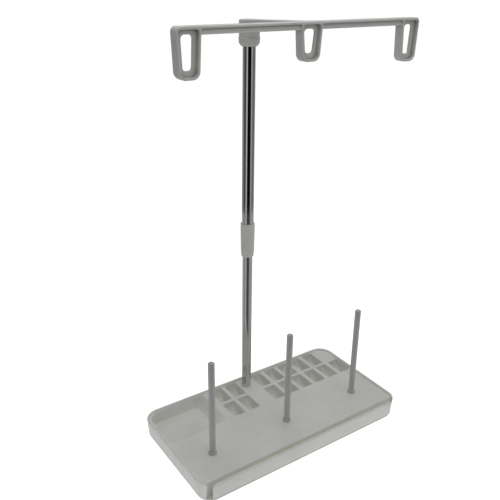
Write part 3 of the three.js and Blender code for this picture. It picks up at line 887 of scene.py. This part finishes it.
def skin_hub(skin):
    """The round hub with the socket that turns on the bush."""
    bore, seat = 7.48, HUB_SEAT + 0.03
    socket_top = box("head_bush")[1].z + 0.3
    profile = soft_profile([
        (0, socket_top, 0), (bore, socket_top, 0), (bore, seat, 0),
        (HUB_RADIUS, seat, 0.06), (HUB_RADIUS, HUB_TOP, 0.8), (0, HUB_TOP, 0),
    ], 5)
    skin.turned(profile, 0, MAST_Y, 96)


def build_guide():
    skin = Skin()
    skin_bar(skin)
    skin_arm(skin)
    skin_hub(skin)
    skin.make("guide_moulding", "guide", ["thread_guide"], trim_plastic)


build_guide()

# ---- CAD nodes that stay as they are, inside the mast and the base ----
for node_name, material, slot_name in (
    ("mast_plug", steel, "steel"),
    ("mast_washer", steel, "steel"),
    ("slide_guide", cover_plastic, "hidden_plastic"),
):
    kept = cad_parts[node_name]
    kept.data.materials.clear()
    kept.data.materials.append(material)

# ---- studio ----
FLOOR_HALF = 12
BACKDROP_RADIUS = 11
BACKDROP_TOP = 14
BACKDROP_SIDES = 48
SKY_GREYS = {"below": 0.14, "level": 0.24, "above": 0.42}
SKY_LEFT, SKY_RIGHT = 0.85, 1.1


def stage_mesh(name, points, faces, material):
    """A mesh that belongs to the studio, not to the stand."""
    mesh = bpy.data.meshes.new(name)
    mesh.from_pydata(points, [], faces)
    mesh.materials.append(material)
    made = bpy.data.objects.new(name, mesh)
    bpy.context.scene.collection.objects.link(made)
    return made


def glowing(name, grey, rough, glow):
    """A faintly clouded pale sheet that gives off light."""
    material, tree, shader = new_material(name)
    clouds = ranged(tree, noise(tree, own_coordinates(tree), 3, 3), 0, 1)
    body = mixed(tree, clouds, (grey * 0.985,) * 3, (grey,) * 3)
    tree.links.new(body, shader.inputs["Base Color"])
    shader.inputs["Roughness"].default_value = rough
    shader.inputs["Specular IOR Level"].default_value = 0.1
    shader.inputs["Emission Color"].default_value = (1, 1, 1, 1)
    shader.inputs["Emission Strength"].default_value = glow
    return material


def level_sheet(name, half_x, half_y, z, material):
    corners = [(-half_x, -half_y, z), (half_x, -half_y, z), (half_x, half_y, z), (-half_x, half_y, z)]
    return stage_mesh(name, corners, [(0, 1, 2, 3)], material)


def build_backdrop():
    """A wall of flat sides all round, so that low views don't see past the floor."""
    ring = [(p.x, p.y) for p in circle(0, 0, BACKDROP_RADIUS, BACKDROP_SIDES)]
    points = []
    for a, b in zip(ring, ring[1:] + ring[:1]):
        points += [(*a, 0), (*b, 0), (*b, BACKDROP_TOP), (*a, BACKDROP_TOP)]
    faces = [[4 * k + i for i in range(4)] for k in range(BACKDROP_SIDES)]
    return stage_mesh("studio_backdrop", points, faces, glowing("studio_backdrop", 0.6, 0.9, 0.95))


# The floor and the backdrop are seen by the camera only.
floor = level_sheet("studio_floor", FLOOR_HALF, FLOOR_HALF, 0, glowing("studio_floor", 0.6, 0.6, 0.82))
backdrop = build_backdrop()
for sheet in (floor, backdrop):
    sheet.visible_diffuse = False
    sheet.visible_glossy = False
    sheet.visible_shadow = False

# A small white table under the stand lights it from below, unseen.
table = level_sheet("white_table", 0.24, 0.19, 0.0004, glowing("white_table", 0.5, 0.9, 0.6))
table.visible_camera = False
table.visible_shadow = False
table.visible_glossy = False


def build_world():
    """Soft light from all round, stronger from above and from the right."""
    world = bpy.data.worlds.new("studio")
    bpy.context.scene.world = world
    world.use_nodes = True
    sky = world.node_tree
    background = sky.nodes["Background"]
    direction = node(sky, "ShaderNodeSeparateXYZ")
    sky.links.new(node(sky, "ShaderNodeTexCoord").outputs["Generated"], direction.inputs["Vector"])
    fade = node(sky, "ShaderNodeValToRGB")
    stops = fade.color_ramp.elements
    stops.new(0.5)
    for stop, grey in zip(stops, SKY_GREYS.values()):
        stop.color = (grey, grey, grey, 1)
    sky.links.new(ranged(sky, direction.outputs["Z"], 0, 1, -1, 1), fade.inputs["Fac"])
    sky.links.new(fade.outputs["Color"], background.inputs["Color"])
    across = ranged(sky, direction.outputs["X"], SKY_LEFT, SKY_RIGHT, -0.75, 0.15)
    sky.links.new(across, background.inputs["Strength"])


build_world()


def panel_light(name, place, target, size, power):
    data = bpy.data.lights.new(name, "AREA")
    data.shape = "RECTANGLE"
    data.size, data.size_y = size
    data.energy = power
    lamp = bpy.data.objects.new(name, data)
    bpy.context.scene.collection.objects.link(lamp)
    lamp.location = place
    lamp.rotation_euler = (Vector(target) - Vector(place)).to_track_quat("-Z", "Y").to_euler()
    return lamp


panel_light("overhead", (0.05, 0.0, 0.85), (0, 0, 0), (0.5, 0.4), 1.02)
panel_light("low_left", (-0.6, 0.22, 0.10), (-0.1, 0, 0), (0.5, 0.12), 0.17)
panel_light("low_front_right", (0.42, -0.6, 0.12), (0.12, -0.05, 0), (0.3, 0.12), 0.12)
high_front = panel_light("high_front", (-0.12, -0.45, 0.62), (0, -0.02, 0.375), (0.3, 0.15), 0.11)
high_front.visible_glossy = False

# ---- camera at the photo's viewing angle ----
CAMERA_PLACE = Vector((-0.31455, -0.41642, 0.41615))
CAMERA_YAW, CAMERA_PITCH, CAMERA_ROLL = (math.radians(a) for a in (34.338, 23.50, 0.610))
CAMERA_LENS = 45.8
CAMERA_SENSOR = 36


def camera_axes():
    ahead = Vector((
        math.sin(CAMERA_YAW) * math.cos(CAMERA_PITCH),
        math.cos(CAMERA_YAW) * math.cos(CAMERA_PITCH),
        -math.sin(CAMERA_PITCH),
    ))
    level = Vector((math.cos(CAMERA_YAW), -math.sin(CAMERA_YAW), 0))
    upward = level.cross(ahead)
    right = math.cos(CAMERA_ROLL) * level + math.sin(CAMERA_ROLL) * upward
    up = -math.sin(CAMERA_ROLL) * level + math.cos(CAMERA_ROLL) * upward
    return right, up, ahead


right, up, ahead = camera_axes()
camera_data = bpy.data.cameras.new("camera")
camera = bpy.data.objects.new("camera", camera_data)
bpy.context.scene.collection.objects.link(camera)
camera_data.sensor_width = CAMERA_SENSOR
camera_data.lens = CAMERA_LENS
pose = Matrix((right, up, -ahead)).transposed().to_4x4()
pose.translation = CAMERA_PLACE
camera.matrix_world = pose
bpy.context.scene.camera = camera
bpy.context.scene.view_settings.view_transform = "Standard"

# ---- cards that only reflections see, in two tiers round the mast ----
CARD_REACH = 0.5
CARD_BOTTOM, CARD_SPLIT, CARD_TOP = -0.7, 0.03, 0.6
CARD_COLUMNS = 8

# Name, start and end angle in degrees from the camera's side, clockwise from above, upper and lower shade.
CARDS = (
    ("left_edge", -180, -95, 0.32, 0.55),
    ("left", -95, -44, 0.09, 0.32),
    ("left_bright", -44, -20, 0.62, 0.58),
    ("front", -20, 41, 0.004, 0.085),
    ("right_bright", 41, 66, 0.42, 0.36),
    ("right", 66, 120, 0.2, 0.44),
    ("right_edge", 120, 180, 0.35, 0.42),
)


def card_material(name, shade):
    material, tree, _ = new_material(name)
    tree.nodes.clear()
    glow = node(tree, "ShaderNodeEmission")
    glow.inputs["Color"].default_value = (shade, shade, shade, 1)
    uneven = noise(tree, own_coordinates(tree), 6, 2)
    tree.links.new(ranged(tree, uneven, 0.9, 1.1), glow.inputs["Strength"])
    tree.links.new(glow.outputs[0], node(tree, "ShaderNodeOutputMaterial").inputs["Surface"])
    return material


def card(name, start, end, shade, z0, z1):
    row = []
    for k in range(CARD_COLUMNS + 1):
        angle = CAMERA_YAW + math.pi - math.radians(start + (end - start) * k / CARD_COLUMNS)
        row.append((CARD_REACH * math.sin(angle), MAST_Y * MM + CARD_REACH * math.cos(angle)))
    points = [(x, y, z) for z in (z0, z1) for x, y in row]
    upper = CARD_COLUMNS + 1
    faces = [(k, k + 1, k + 1 + upper, k + upper) for k in range(CARD_COLUMNS)]
    made = stage_mesh(name, points, faces, card_material(name, shade))
    made.visible_camera = False
    made.visible_diffuse = False
    made.visible_shadow = False
    made.visible_transmission = False


for name, start, end, high_shade, low_shade in CARDS:
    card(f"card_{name}_high", start, end, high_shade, CARD_SPLIT, CARD_TOP)
    card(f"card_{name}_low", start, end, low_shade, CARD_BOTTOM, CARD_SPLIT)
